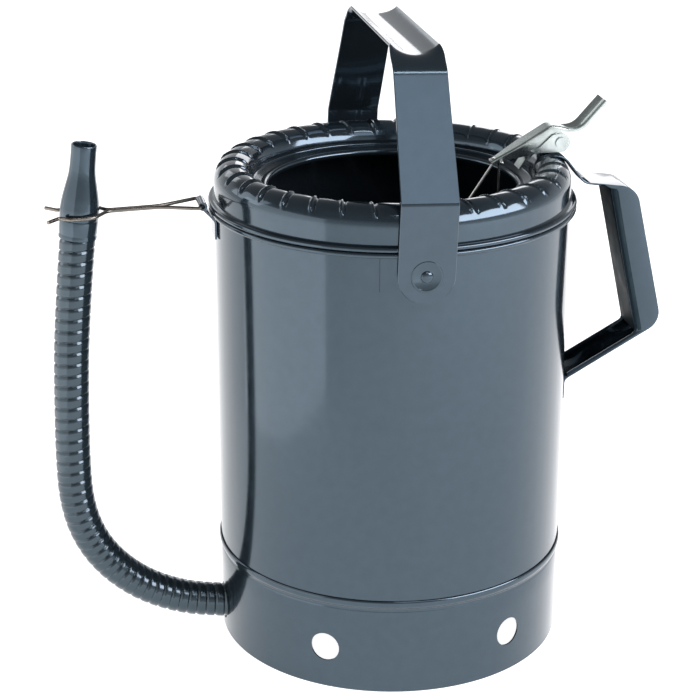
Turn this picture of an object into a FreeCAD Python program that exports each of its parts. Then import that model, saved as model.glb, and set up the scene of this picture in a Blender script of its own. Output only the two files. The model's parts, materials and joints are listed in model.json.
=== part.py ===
import FreeCAD, Part
import math
import os
from FreeCAD import Vector

# Bottom-outlet oil can of about 8 litres, in millimetres.
# Origin: centre of the base ring's lower edge. +Z up, +X to the fixed handle, -X to the spout.
# The bail swings about an axis along Y.

# Driving dimensions
BODY_R = 108.0
SHEET = 1.0
GAP = 0.1                     # between two pieces of one body that lie against each other
FLOOR_Z = 58.0                # underside of the false bottom
BODY_FOOT_Z = 56.5
SKIRT_TOP_Z = 61.7
SEAM_Z = 279.8                # where the rim ring is seamed on the body
SEAM_BEAD_R = 1.6
SEAM_BEAD_PITCH_R = 110.0
ROLL_PITCH_R = 96.4
ROLL_Z = 292.7
ROLL_R = 11.6
LIP_PITCH_R = 77.3
LIP_Z = 288.2
LIP_R = 2.2

VENT_HOLE_R = 9.0
VENT_HOLE_Z = 27.0
VENT_PAIR_AT = 90.9           # degrees round from the handle to the middle of each pair of holes
VENT_HALF_TURN = 31.8         # degrees from there to each hole
OUTLET_HOLE_R = 11.7
OUTLET_HOLE_Z = 17.1

EAR_X = -4.0                  # the bail's ears sit a little towards the spout
PIVOT_Z = 266.8
EAR_HALF_LENGTH = 25.0
EAR_BOSS_R = 9.5
EAR_FACE_Y = 112.3
BAIL_INNER_Y = 112.6
BAIL_SHEET = 1.6
BAIL_HALF_WIDTH = 16.0
BAIL_CREASE_Z = 308.5
BAIL_TOP_Z = 380.8
BAIL_SHOULDER_Y = 70.4
BAIL_BEND_R = 18.0
BAIL_LEAN = 2.0               # degrees that it stands towards the handle
TROUGH_R = 20.6
TROUGH_HALF_LENGTH = 61.0
TROUGH_HALF_WIDTH = 14.7
RIVET_R = 3.0
RUNNING = 0.05                # radial clearance of a pin in its hole

HANDLE_SHEET = 1.2
HANDLE_HALF_WIDTH = 14.5

LEVER_PIVOT_X = 102.9
LEVER_PIVOT_Z = 311.4
LEVER_SHEET = 1.2
LEVER_HALF_WIDTH = 6.5
PAD_HALF_WIDTH = 8.1           # the thumb pad beyond the bracket is a little wider
PAD_FROM_X = 115.0
LEVER_PIN_R = 2.0
BRACKET_SHEET = 1.2
BRACKET_INNER_Y = 6.9
BRACKET_BASE_Z = 305.7
WIRE_R = 0.9
NOSE_X = 62.8
NOSE_Z = 298.4

VALVE_X = -84.0
VALVE_EYE_Z = 78.0
VALVE_EYE_R = 2.4             # wide enough for the wire's end to find its own place
EYE_SIDE_Y = 3.3
SPRING_X = 66.5
SPRING_TOP_Z = 300.5
SPRING_WIRE_R = 0.8

CLIP_PIVOT_X = -116.2
CLIP_PIVOT_Z = 282.7
CLIP_WIRE_R = 1.1
CLIP_DROP = 1.6               # degrees that the clip slopes down to the nozzle

HOSE_R = 10.8
HOSE_BORE_R = 9.3
# The hose's route in the plane y = 0, from the outlet elbow up to the nozzle, as (x, z).
HOSE_ROUTE = [
    (-99.0, 16.2),
    (-118.9, 18.2),
    (-140.2, 23.5),
    (-161.7, 34.2),
    (-180.7, 51.4),
    (-193.1, 71.9),
    (-199.0, 95.1),
    (-199.8, 122.1),
    (-199.1, 156.0),
    (-196.7, 212.0),
    (-190.3, 268.0),
]
BEND_FIRST = 2                # the hose bends between the middles of these two runs
BEND_LAST = 7

X_AXIS = Vector(1, 0, 0)
Y_AXIS = Vector(0, 1, 0)
Z_AXIS = Vector(0, 0, 1)
ORIGIN = Vector(0, 0, 0)


# Plane geometry, on points given as pairs

def unit(a, b):
    """Unit vector from point a to point b."""
    length = math.dist(a, b)
    return (b[0] - a[0]) / length, (b[1] - a[1]) / length


def turn_at(before, corner, after):
    """Angle in radians, positive to the left, that a path turns by at a corner."""
    u = unit(before, corner)
    v = unit(corner, after)
    return math.atan2(u[0] * v[1] - u[1] * v[0], u[0] * v[0] + u[1] * v[1])


def along(point, direction, distance):
    return point[0] + direction[0] * distance, point[1] + direction[1] * distance


def offset_path(points, distance):
    """The same open path moved to its left by a distance, with mitred corners."""
    moved = []
    for i, point in enumerate(points):
        before = points[max(i - 1, 0)]
        after = points[min(i + 1, len(points) - 1)]
        u = unit(before, point) if i > 0 else unit(point, after)
        v = unit(point, after) if i < len(points) - 1 else u
        half = math.atan2(u[0] * v[1] - u[1] * v[0], u[0] * v[0] + u[1] * v[1]) / 2
        left = (-u[1], u[0])
        moved.append(
            (
                point[0] + distance * (left[0] - math.tan(half) * u[0]),
                point[1] + distance * (left[1] - math.tan(half) * u[1]),
            )
        )
    return moved


def rounded_edges(points, radii, place):
    """Edges of an open path whose inner corners have the given radii. place turns a pair into a Vector."""
    edges = []
    start = points[0]
    for i in range(1, len(points) - 1):
        corner = points[i]
        radius = radii[i - 1]
        if radius <= 0:
            edges.append(Part.makeLine(place(*start), place(*corner)))
            start = corner
            continue
        half = abs(turn_at(points[i - 1], corner, points[i + 1])) / 2
        back = unit(corner, points[i - 1])
        ahead = unit(corner, points[i + 1])
        cut = radius * math.tan(half)
        first = along(corner, back, cut)
        last = along(corner, ahead, cut)
        middle_line = unit((0, 0), (back[0] + ahead[0], back[1] + ahead[1]))
        middle = along(corner, middle_line, radius / math.cos(half) - radius)
        edges.append(Part.makeLine(place(*start), place(*first)))
        edges.append(Part.Arc(place(*first), place(*middle), place(*last)).toShape())
        start = last
    edges.append(Part.makeLine(place(*start), place(*points[-1])))
    return edges


def strip_face(points, radii, thickness, place):
    """Face of a bent sheet seen from its edge: a path and the same path moved to its left."""
    inner = offset_path(points, thickness)
    inner_radii = []
    for i, radius in enumerate(radii):
        side = 1 if turn_at(points[i], points[i + 1], points[i + 2]) > 0 else -1
        inner_radii.append(max(radius - side * thickness, 0.2))
    edges = rounded_edges(points, radii, place)
    edges.append(Part.makeLine(place(*points[-1]), place(*inner[-1])))
    edges += rounded_edges(inner[::-1], inner_radii[::-1], place)
    edges.append(Part.makeLine(place(*inner[0]), place(*points[0])))
    return Part.Face(Part.Wire(Part.__sortEdges__(edges)))


def rounded_face(points, radii, place):
    """Face inside a closed outline. radii has one value for each point after the first."""
    loop = points + [points[0]]
    return Part.Face(Part.Wire(Part.__sortEdges__(rounded_edges(loop, radii, place))))


def in_xz(y):
    return lambda a, b: Vector(a, y, b)


def in_yz(x):
    return lambda a, b: Vector(x, a, b)


# Solids

def fuse(solids):
    joined = solids[0].multiFuse(solids[1:])
    return joined.removeSplitter()


def ring(inner_r, outer_r, low, high):
    outer = Part.makeCylinder(outer_r, high - low, Vector(0, 0, low))
    inner = Part.makeCylinder(inner_r, high - low + 2, Vector(0, 0, low - 1))
    return outer.cut(inner)


def torus(pitch_r, tube_r, z):
    return Part.makeTorus(pitch_r, tube_r, Vector(0, 0, z))


def rod_y(radius, x, z, y_from, y_to):
    """Round rod along Y."""
    return Part.makeCylinder(radius, y_to - y_from, Vector(x, y_from, z), Y_AXIS)


def plate_xz(points, y_from, y_to, radii=None):
    """Plate of an outline in the plane XZ, as thick as from y_from to y_to."""
    if radii is None:
        radii = [0] * (len(points) - 1)
    return rounded_face(points, radii, in_xz(y_from)).extrude(Vector(0, y_to - y_from, 0))


def sweep(edges, radius):
    """Round tube or wire along a path of tangent lines and arcs."""
    path = Part.Wire(edges)
    start = edges[0].valueAt(edges[0].FirstParameter)
    direction = edges[0].tangentAt(edges[0].FirstParameter)
    circle = Part.Wire(Part.Circle(start, direction, radius).toShape())
    return path.makePipeShell([circle], True, False)


# The can

def make_body_shell():
    wall = ring(BODY_R - SHEET, BODY_R, BODY_FOOT_Z, SEAM_Z - 0.1)
    flange = ring(BODY_R - SHEET, SEAM_BEAD_PITCH_R, SEAM_Z - 2.2, SEAM_Z - 1.2)
    bead = torus(SEAM_BEAD_PITCH_R, SEAM_BEAD_R, SEAM_Z - SEAM_BEAD_R - GAP / 2)
    return fuse([wall, flange, bead])


def make_rim_ring():
    wall = ring(BODY_R - SHEET, BODY_R, SEAM_Z + GAP, ROLL_Z)
    flange = ring(BODY_R - SHEET, SEAM_BEAD_PITCH_R, SEAM_Z + 1.2, SEAM_Z + 2.2)
    bead = torus(SEAM_BEAD_PITCH_R, SEAM_BEAD_R, SEAM_Z + SEAM_BEAD_R + GAP / 2)
    above = ring(1, BODY_R + 2, ROLL_Z, ROLL_Z + ROLL_R + 2)
    roll = torus(ROLL_PITCH_R, ROLL_R, ROLL_Z).cut(torus(ROLL_PITCH_R, ROLL_R - SHEET, ROLL_Z))
    roll = roll.common(above)
    roll_inner_r = ROLL_PITCH_R - ROLL_R
    slope = [
        (roll_inner_r, ROLL_Z + 0.5),
        (roll_inner_r + SHEET, ROLL_Z + 0.5),
        (roll_inner_r + SHEET, ROLL_Z - 1.6),
        (LIP_PITCH_R + 1.0, LIP_Z - 1.2),
        (LIP_PITCH_R + 1.0, LIP_Z + 0.2),
        (roll_inner_r, ROLL_Z - 1.2),
    ]
    outline = Part.makePolygon([Vector(r, 0, z) for r, z in slope + slope[:1]])
    band = Part.Face(outline).revolve(ORIGIN, Z_AXIS, 360)
    lip = torus(LIP_PITCH_R, LIP_R, LIP_Z)
    return fuse([wall, flange, bead, roll, band, lip])


def make_base_ring():
    wall = ring(BODY_R - SHEET, BODY_R, 0, BODY_FOOT_Z - 2 * GAP)
    joggle = ring(BODY_R - SHEET, BODY_R + GAP + SHEET, BODY_FOOT_Z - 1.2, BODY_FOOT_Z - GAP)
    collar = ring(BODY_R + GAP, BODY_R + GAP + SHEET, BODY_FOOT_Z - 1.2, SKIRT_TOP_Z)
    hem = ring(BODY_R - 2 * SHEET, BODY_R, 0, 2.0)
    shell = fuse([wall, joggle, collar, hem])
    for side in (-VENT_PAIR_AT, VENT_PAIR_AT):
        for turn in (-VENT_HALF_TURN, VENT_HALF_TURN):
            angle = math.radians(side + turn)
            outward = Vector(math.cos(angle), math.sin(angle), 0)
            start = outward * (BODY_R - 10) + Vector(0, 0, VENT_HOLE_Z)
            shell = shell.cut(Part.makeCylinder(VENT_HOLE_R, 20, start, outward))
    outlet_start = Vector(-BODY_R + 10, 0, OUTLET_HOLE_Z)
    return shell.cut(Part.makeCylinder(OUTLET_HOLE_R, 20, outlet_start, -X_AXIS))


def make_bottom_plate():
    disc = Part.makeCylinder(BODY_R - SHEET - GAP, SHEET, Vector(0, 0, FLOOR_Z))
    flange = ring(BODY_R - 2 * SHEET - GAP, BODY_R - SHEET - GAP, FLOOR_Z, FLOOR_Z + 7)
    hole = Part.makeCylinder(ELBOW_R + GAP, 4, Vector(VALVE_X, 0, FLOOR_Z - 1))
    return fuse([disc, flange]).cut(hole)


# The outlet and its valve

ELBOW_R = 8.9
ELBOW_BORE_R = 7.6
ELBOW_BEND_R = 14.0
ELBOW_Z = 16.5
ELBOW_END_X = -104.0
ELBOW_TOP_Z = FLOOR_Z - GAP
SEAT_TOP_Z = 60.3
SEAT_NECK_R = ELBOW_BORE_R - GAP
SEAT_THROAT_R = 6.3
STEM_R = 2.5
DISC_Z = 62.0
DISC_R = 10.5
GASKET_BORE_R = 7.0


def elbow_path():
    place = in_xz(0)
    corner = (VALVE_X, ELBOW_Z)
    return rounded_edges([(VALVE_X, ELBOW_TOP_Z), corner, (ELBOW_END_X, ELBOW_Z)], [ELBOW_BEND_R], place)


def make_outlet_elbow():
    tube = sweep(elbow_path(), ELBOW_R)
    flange = Part.makeCylinder(14, 1.5, Vector(VALVE_X, 0, ELBOW_TOP_Z - 1.5))
    return fuse([tube, flange]).cut(sweep(elbow_path(), ELBOW_BORE_R))


def make_valve_seat():
    flange = Part.makeCylinder(16, SEAT_TOP_Z - FLOOR_Z - SHEET, Vector(VALVE_X, 0, FLOOR_Z + SHEET))
    neck = Part.makeCylinder(SEAT_NECK_R, SEAT_TOP_Z - 44, Vector(VALVE_X, 0, 44))
    throat = Part.makeCylinder(SEAT_THROAT_R, SEAT_TOP_Z - 40, Vector(VALVE_X, 0, 42))
    bar = Part.makeBox(2 * SEAT_NECK_R - 1, 3, 4, Vector(VALVE_X - SEAT_NECK_R + 0.5, -1.5, 44))
    hub = Part.makeCylinder(STEM_R + 1.6, 4, Vector(VALVE_X, 0, 44))
    bore = Part.makeCylinder(STEM_R + RUNNING, 10, Vector(VALVE_X, 0, 42))
    return fuse([fuse([flange, neck]).cut(throat), bar, hub]).cut(bore)


def make_valve_stem():
    disc = Part.makeCylinder(DISC_R, 2.5, Vector(VALVE_X, 0, DISC_Z))
    guide = Part.makeCylinder(STEM_R, DISC_Z - 42, Vector(VALVE_X, 0, 42))
    stem = Part.makeCylinder(STEM_R, VALVE_EYE_Z - 3 - DISC_Z, Vector(VALVE_X, 0, DISC_Z))
    eye = rod_y(5.0, VALVE_X, VALVE_EYE_Z, -1.5, 1.5)
    hole = rod_y(VALVE_EYE_R, VALVE_X, VALVE_EYE_Z, -3, 3)
    return fuse([disc, guide, stem, eye]).cut(hole)


def make_valve_gasket():
    height = DISC_Z - SEAT_TOP_Z - 2 * GAP
    outer = Part.makeCylinder(DISC_R - 0.5, height, Vector(VALVE_X, 0, SEAT_TOP_Z + GAP))
    bore = Part.makeCylinder(GASKET_BORE_R, 4, Vector(VALVE_X, 0, SEAT_TOP_Z - 1))
    return outer.cut(bore)


# The bail

def bail_outer_path():
    outer_y = BAIL_INNER_Y + BAIL_SHEET
    foot_z = PIVOT_Z - BAIL_HALF_WIDTH
    left = [(-outer_y, foot_z), (-outer_y, BAIL_CREASE_Z), (-BAIL_SHOULDER_Y, BAIL_TOP_Z)]
    right = [(-y, z) for y, z in reversed(left)]
    return left + right


def make_bail_strap():
    radii = [6.0, BAIL_BEND_R, BAIL_BEND_R, 6.0]
    width = Vector(2 * BAIL_HALF_WIDTH, 0, 0)
    strip = strip_face(bail_outer_path(), radii, -BAIL_SHEET, in_yz(-BAIL_HALF_WIDTH)).extrude(width)
    top_gap = Part.makeBox(
        4 * BAIL_HALF_WIDTH, 2 * TROUGH_HALF_LENGTH, 20,
        Vector(-2 * BAIL_HALF_WIDTH, -TROUGH_HALF_LENGTH, BAIL_TOP_Z - 10),
    )
    axis_z = BAIL_TOP_Z + TROUGH_R
    trough = rod_y(TROUGH_R + BAIL_SHEET, 0, axis_z, -TROUGH_HALF_LENGTH - 0.5, TROUGH_HALF_LENGTH + 0.5)
    trough = trough.cut(rod_y(TROUGH_R, 0, axis_z, -TROUGH_HALF_LENGTH - 2, TROUGH_HALF_LENGTH + 2))
    keep = Part.makeBox(
        2 * TROUGH_HALF_WIDTH, 4 * TROUGH_HALF_LENGTH, TROUGH_R + 2,
        Vector(-TROUGH_HALF_WIDTH, -2 * TROUGH_HALF_LENGTH, BAIL_TOP_Z - 2),
    )
    bail = fuse([strip.cut(top_gap), trough.common(keep)])
    # rounded lower ends, an embossed disc round each rivet, and the rivet's hole
    far = 200
    rounding = rod_y(BAIL_HALF_WIDTH, 0, PIVOT_Z, -far, far).fuse(
        Part.makeBox(4 * BAIL_HALF_WIDTH, 2 * far, far, Vector(-2 * BAIL_HALF_WIDTH, -far, PIVOT_Z))
    )
    bail = bail.common(rounding)
    bail = bail.cut(rod_y(RIVET_R + RUNNING, 0, PIVOT_Z, -far, far))
    bail.translate(Vector(EAR_X, 0, 0))
    bail.rotate(Vector(EAR_X, 0, PIVOT_Z), Y_AXIS, BAIL_LEAN)
    return bail


def make_bail_ear(side):
    """Ear plate spot-welded on the body, with the boss that the bail turns on. side is -1 near or 1 far."""
    low = PIVOT_Z - 10.3
    plate = ring(BODY_R + GAP, BODY_R + GAP + 1.4, low, low + 19.8)
    half = Part.makeBox(
        2 * EAR_HALF_LENGTH, 60, 60,
        Vector(EAR_X - EAR_HALF_LENGTH, 60 if side > 0 else -120, low - 20),
    )
    y_from, y_to = (100, EAR_FACE_Y) if side > 0 else (-EAR_FACE_Y, -100)
    boss = rod_y(EAR_BOSS_R, EAR_X, PIVOT_Z, y_from, y_to)
    body = Part.makeCylinder(BODY_R + GAP, 60, Vector(0, 0, low - 20))
    ear = fuse([plate.common(half), boss.cut(body)])
    hole_from, hole_to = (109.5, 130) if side > 0 else (-130, -109.5)
    return ear.cut(rod_y(RIVET_R + RUNNING, EAR_X, PIVOT_Z, hole_from, hole_to))


def make_bail_rivets():
    """Two rivets as two separate solids."""
    outer_y = BAIL_INNER_Y + BAIL_SHEET + RUNNING
    head_r = 4.6
    head_h = 2.0
    sphere_r = (head_r ** 2 + head_h ** 2) / (2 * head_h)
    rivets = []
    for side in (-1, 1):
        shank_from, shank_to = sorted((side * 109.6, side * (outer_y + 0.1)))
        shank = rod_y(RIVET_R, EAR_X, PIVOT_Z, shank_from, shank_to)
        ball = Part.makeSphere(sphere_r, Vector(EAR_X, side * (outer_y + head_h - sphere_r), PIVOT_Z))
        cap_from, cap_to = sorted((side * outer_y, side * (outer_y + head_h + 1)))
        cap = ball.common(rod_y(head_r, EAR_X, PIVOT_Z, cap_from, cap_to))
        rivets.append(fuse([shank, cap]))
    return Part.makeCompound(rivets)


# The fixed handle: a pressed channel from over the rim, round the hand, back to the body

HANDLE_OUTER = [
    (92.0, 305.6),
    (102.4, 305.6),
    (117.7, 287.5),
    (150.6, 282.7),
    (171.2, 193.6),
    (109.8, 158.8),
    (109.8, 145.0),
]
HANDLE_RADII = [12.9, 8.0, 14.0, 12.0, 4.0]
# The channel's side, from the top strap round the outside and back along the inner edge
HANDLE_SIDE = [
    (129.0, 285.8),
    (150.6, 282.7),
    (171.2, 193.6),
    (112.0, 160.1),
    (112.0, 164.5),
    (154.4, 187.6),
    (134.0, 281.6),
    (129.0, 283.6),
]
HANDLE_SIDE_RADII = [14.0, 12.0, 0, 0, 3.0, 3.0, 0]


# Strip that closes the grip's inner side, set in between the channel's sides
GRIP_LINER = [(135.6, 278.8), (154.9, 190.6)]
GRIP_LINER_SHEET = 1.0


def make_grip_liner():
    half = HANDLE_HALF_WIDTH - HANDLE_SHEET - GAP
    return strip_face(GRIP_LINER, [], GRIP_LINER_SHEET, in_xz(-half)).extrude(Vector(0, 2 * half, 0))


def make_handle():
    width = Vector(0, 2 * HANDLE_HALF_WIDTH, 0)
    web = strip_face(HANDLE_OUTER, HANDLE_RADII, -HANDLE_SHEET, in_xz(-HANDLE_HALF_WIDTH)).extrude(width)
    sides = [
        plate_xz(HANDLE_SIDE, -HANDLE_HALF_WIDTH, -HANDLE_HALF_WIDTH + HANDLE_SHEET, HANDLE_SIDE_RADII),
        plate_xz(HANDLE_SIDE, HANDLE_HALF_WIDTH - HANDLE_SHEET, HANDLE_HALF_WIDTH, HANDLE_SIDE_RADII),
    ]
    handle = fuse([web] + sides)
    wall = Part.makeCylinder(BODY_R + GAP, 40, Vector(0, 0, 140))
    return handle.cut(wall)


# The thumb lever, its bracket, and the wire and spring that hang from its nose

LEVER_OUTER = [(60.0, 300.1), (97.5, 322.8), (113.5, 318.8), (130.0, 337.5)]
LEVER_RADII = [8.0, 9.0]
LEVER_SIDE = [
    (60.0, 300.1),
    (97.5, 322.8),
    (108.0, 320.2),
    (107.2, 311.4),
    (102.9, 307.4),
    (98.6, 311.4),
    (93.0, 313.7),
    (62.8, 295.5),
]
LEVER_SIDE_RADII = [8.0, 0, 3.5, 3.5, 3.5, 2.0, 0]
EAR_OUTLINE = [
    (84.5, BRACKET_BASE_Z),
    (105.5, BRACKET_BASE_Z),
    (109.6, 311.4),
    (105.5, 318.0),
    (97.5, 316.5),
    (90.0, 309.5),
]
EAR_RADII = [0, 4.0, 5.0, 5.0, 5.0]
STOP_TAB = [(86.0, 306.9), (82.0, 302.5), (77.5, 295.5)]


def make_lever_bracket():
    reach = BRACKET_INNER_Y + BRACKET_SHEET
    base = Part.makeBox(21, 2 * reach, BRACKET_SHEET, Vector(84.5, -reach, BRACKET_BASE_Z))
    ears = [
        plate_xz(EAR_OUTLINE, -reach, -BRACKET_INNER_Y, EAR_RADII),
        plate_xz(EAR_OUTLINE, BRACKET_INNER_Y, reach, EAR_RADII),
    ]
    tab = strip_face(STOP_TAB, [4.0], BRACKET_SHEET, in_xz(-5.5)).extrude(Vector(0, 11, 0))
    bore = rod_y(LEVER_PIN_R + RUNNING, LEVER_PIVOT_X, LEVER_PIVOT_Z, -20, 20)
    return fuse([base, tab] + ears).cut(bore)


def make_lever_pin():
    reach = BRACKET_INNER_Y + BRACKET_SHEET + RUNNING
    shank = rod_y(LEVER_PIN_R, LEVER_PIVOT_X, LEVER_PIVOT_Z, -reach, reach)
    heads = [
        rod_y(LEVER_PIN_R + 1.5, LEVER_PIVOT_X, LEVER_PIVOT_Z, -reach - 1.2, -reach),
        rod_y(LEVER_PIN_R + 1.5, LEVER_PIVOT_X, LEVER_PIVOT_Z, reach, reach + 1.2),
    ]
    return fuse([shank] + heads)


def make_thumb_lever():
    width = Vector(0, 2 * PAD_HALF_WIDTH, 0)
    web = strip_face(LEVER_OUTER, LEVER_RADII, -LEVER_SHEET, in_xz(-PAD_HALF_WIDTH)).extrude(width)
    for y in (-LEVER_HALF_WIDTH - 10, LEVER_HALF_WIDTH):
        web = web.cut(Part.makeBox(60, 10, 60, Vector(PAD_FROM_X - 60, y, 290)))
    sides = [
        plate_xz(LEVER_SIDE, -LEVER_HALF_WIDTH, -LEVER_HALF_WIDTH + LEVER_SHEET, LEVER_SIDE_RADII),
        plate_xz(LEVER_SIDE, LEVER_HALF_WIDTH - LEVER_SHEET, LEVER_HALF_WIDTH, LEVER_SIDE_RADII),
    ]
    lever = fuse([web] + sides)
    lever = lever.cut(rod_y(LEVER_PIN_R + RUNNING, LEVER_PIVOT_X, LEVER_PIVOT_Z, -20, 20))
    lever = lever.cut(rod_y(WIRE_R + RUNNING, NOSE_X, NOSE_Z, 0, 20))
    return lever.cut(rod_y(SPRING_WIRE_R + RUNNING, SPRING_X, SPRING_TOP_Z, -20, 0))


def make_pull_wire():
    """Straight wire from the lever's nose to one side of the valve's eye, with a bent end through each."""
    nose = Vector(NOSE_X, 0, NOSE_Z)
    eye = Vector(VALVE_X, -EYE_SIDE_Y, VALVE_EYE_Z)
    pieces = [
        Part.makeCylinder(WIRE_R, nose.distanceToPoint(eye), eye, nose - eye),
        Part.makeSphere(WIRE_R, nose),
        Part.makeSphere(WIRE_R, eye),
        rod_y(WIRE_R, NOSE_X, NOSE_Z, 0, LEVER_HALF_WIDTH + 1.5),
        rod_y(WIRE_R, VALVE_X, VALVE_EYE_Z, -EYE_SIDE_Y, EYE_SIDE_Y),
    ]
    return fuse(pieces)


SPRING_COIL_LOW = 222.0
SPRING_COIL_HIGH = 264.0
SPRING_COIL_R = 4.2
EYE_TOP_Z = 66.0


def make_return_spring():
    """Extension spring: a close-wound coil with a long leg down to its eye and one up to the lever."""
    coil_h = SPRING_COIL_HIGH - SPRING_COIL_LOW
    coil = Part.makeCylinder(SPRING_COIL_R, coil_h, Vector(SPRING_X, 0, SPRING_COIL_LOW))
    bore_h = coil_h - 4 * SPRING_WIRE_R
    bore = Part.makeCylinder(
        SPRING_COIL_R - 2 * SPRING_WIRE_R, bore_h, Vector(SPRING_X, 0, SPRING_COIL_LOW + 2 * SPRING_WIRE_R)
    )
    leg_up = Part.makeCylinder(
        SPRING_WIRE_R, SPRING_TOP_Z - SPRING_COIL_HIGH + 0.5, Vector(SPRING_X, 0, SPRING_COIL_HIGH - 0.5)
    )
    leg_down = Part.makeCylinder(
        SPRING_WIRE_R, SPRING_COIL_LOW - EYE_TOP_Z + 2.5, Vector(SPRING_X, 0, EYE_TOP_Z - 2)
    )
    bar_up = rod_y(SPRING_WIRE_R, SPRING_X, SPRING_TOP_Z, -LEVER_HALF_WIDTH - 1.5, 0)
    bar_down = rod_y(SPRING_WIRE_R, SPRING_X, EYE_TOP_Z - 2, -2.5, 2.5)
    corner = Part.makeSphere(SPRING_WIRE_R, Vector(SPRING_X, 0, SPRING_TOP_Z))
    return fuse([coil.cut(bore), leg_up, leg_down, bar_up, bar_down, corner])


def make_spring_eye():
    """Small eyelet on the false bottom that the spring's lower leg hooks through."""
    plate = Part.makeBox(12, 2.0, 8.5, Vector(SPRING_X - 6, -1.0, FLOOR_Z + SHEET + GAP))
    foot = Part.makeBox(12, 8, 1.0, Vector(SPRING_X - 6, -4, FLOOR_Z + SHEET + GAP))
    hole = rod_y(SPRING_WIRE_R + 0.6, SPRING_X, EYE_TOP_Z - 2, -5, 5)
    slot = Part.makeBox(
        2 * SPRING_WIRE_R + 1.2, 4, 6, Vector(SPRING_X - SPRING_WIRE_R - 0.6, -2, EYE_TOP_Z - 2)
    )
    return fuse([plate, foot]).cut(hole).cut(slot)


# The wire clip that holds the nozzle, and its bracket

CLIP_SIDE = [
    (-208.0, 15.5),
    (-200.6, 8.0),
    (-195.5, 13.4),
    (-181.0, 13.4),
    (-172.5, 1.45),
    (-141.0, 1.45),
    (CLIP_PIVOT_X, 12.2),
]
CLIP_SIDE_RADII = [2.5, 4.5, 7.0, 6.0, 25.0]
CLIP_CORNER_R = 2.5
CLIP_BRACKET_HALF_WIDTH = 8.0
CLIP_LEG = [(-109.5, 262.0), (-109.5, 273.0), (-116.4, 280.4)]


def make_clip_wire():
    """One bent wire: two prongs round the nozzle and the bar that it turns on."""
    near = [(x, -y) for x, y in CLIP_SIDE]
    far = list(reversed(CLIP_SIDE))
    radii = CLIP_SIDE_RADII + [CLIP_CORNER_R, CLIP_CORNER_R] + CLIP_SIDE_RADII[::-1]
    edges = rounded_edges(near + far, radii, lambda a, b: Vector(a, b, CLIP_PIVOT_Z))
    wire = sweep(edges, CLIP_WIRE_R)
    wire.rotate(Vector(CLIP_PIVOT_X, 0, CLIP_PIVOT_Z), -Y_AXIS, CLIP_DROP)
    return wire


def make_clip_bracket():
    half = CLIP_BRACKET_HALF_WIDTH
    leg = strip_face(CLIP_LEG, [5.0], -1.2, in_xz(-half)).extrude(Vector(0, 2 * half, 0))
    knuckle = rod_y(CLIP_WIRE_R + 1.5, CLIP_PIVOT_X, CLIP_PIVOT_Z, -half, half)
    bore = rod_y(CLIP_WIRE_R + RUNNING, CLIP_PIVOT_X, CLIP_PIVOT_Z, -half - 5, half + 5)
    bead = torus(SEAM_BEAD_PITCH_R, SEAM_BEAD_R + 0.2, SEAM_Z - SEAM_BEAD_R)
    wall = Part.makeCylinder(BODY_R + GAP, 60, Vector(0, 0, 250))
    return fuse([leg, knuckle]).cut(bore).cut(wall).cut(bead)


# The flexible spout

def hose_corner_radius(i):
    """Radius of the hose's arc at a corner of its route: as large as the shorter of its two runs allows."""
    shorter = min(math.dist(HOSE_ROUTE[i - 1], HOSE_ROUTE[i]), math.dist(HOSE_ROUTE[i], HOSE_ROUTE[i + 1]))
    half = abs(turn_at(HOSE_ROUTE[i - 1], HOSE_ROUTE[i], HOSE_ROUTE[i + 1])) / 2
    return 0.45 * shorter / math.tan(half)


def middle_of_run(i):
    a, b = HOSE_ROUTE[i - 1], HOSE_ROUTE[i]
    return (a[0] + b[0]) / 2, (a[1] + b[1]) / 2


def make_hose(points, radii):
    edges = rounded_edges(points, radii, in_xz(0))
    hose = sweep(edges, HOSE_R).cut(sweep(edges, HOSE_BORE_R))
    length = sum(edge.Length for edge in edges)
    expected = math.pi * (HOSE_R ** 2 - HOSE_BORE_R ** 2) * length
    print("hose piece: length %.1f mm, volume %.0f of %.0f mm3" % (length, hose.Volume, expected))
    return hose


def make_hose_pieces():
    radii = [hose_corner_radius(i) for i in range(1, len(HOSE_ROUTE) - 1)]
    print("hose arc radii, mm:", ", ".join("%.0f" % r for r in radii))
    first_cut = middle_of_run(BEND_FIRST)
    last_cut = middle_of_run(BEND_LAST)
    return {
        "hose_lower": make_hose(HOSE_ROUTE[:BEND_FIRST] + [first_cut], radii[:BEND_FIRST - 1]),
        "hose_bend": make_hose(
            [first_cut] + HOSE_ROUTE[BEND_FIRST:BEND_LAST] + [last_cut], radii[BEND_FIRST - 1:BEND_LAST - 1]
        ),
        "hose_upper": make_hose([last_cut] + HOSE_ROUTE[BEND_LAST:], radii[BEND_LAST - 1:]),
    }


FERRULE_R = 11.4
FERRULE_LOW = -2.5            # measured along the nozzle's axis from the hose's end
FERRULE_HIGH = 9.5
NOZZLE_SHEET = 1.2
# The nozzle's outside, as (distance along its axis, radius)
NOZZLE_PROFILE = [
    (9.6, 11.6), (15.5, 11.6), (20.5, 11.2), (26.5, 10.1), (32.5, 8.9), (36.0, 8.2),
    (40.0, 7.8), (45.0, 7.6), (54.6, 7.6),
]


def stand_on_hose(shape):
    """Moves a shape made about the Z axis on to the hose's end, in line with its last run."""
    before, end = HOSE_ROUTE[-2], HOSE_ROUTE[-1]
    lean = math.degrees(math.atan2(end[0] - before[0], end[1] - before[1]))
    shape.rotate(ORIGIN, Y_AXIS, lean)
    shape.translate(Vector(end[0], 0, end[1]))
    return shape


def make_hose_ferrule():
    return stand_on_hose(ring(HOSE_R + GAP, FERRULE_R, FERRULE_LOW, FERRULE_HIGH))


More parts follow.
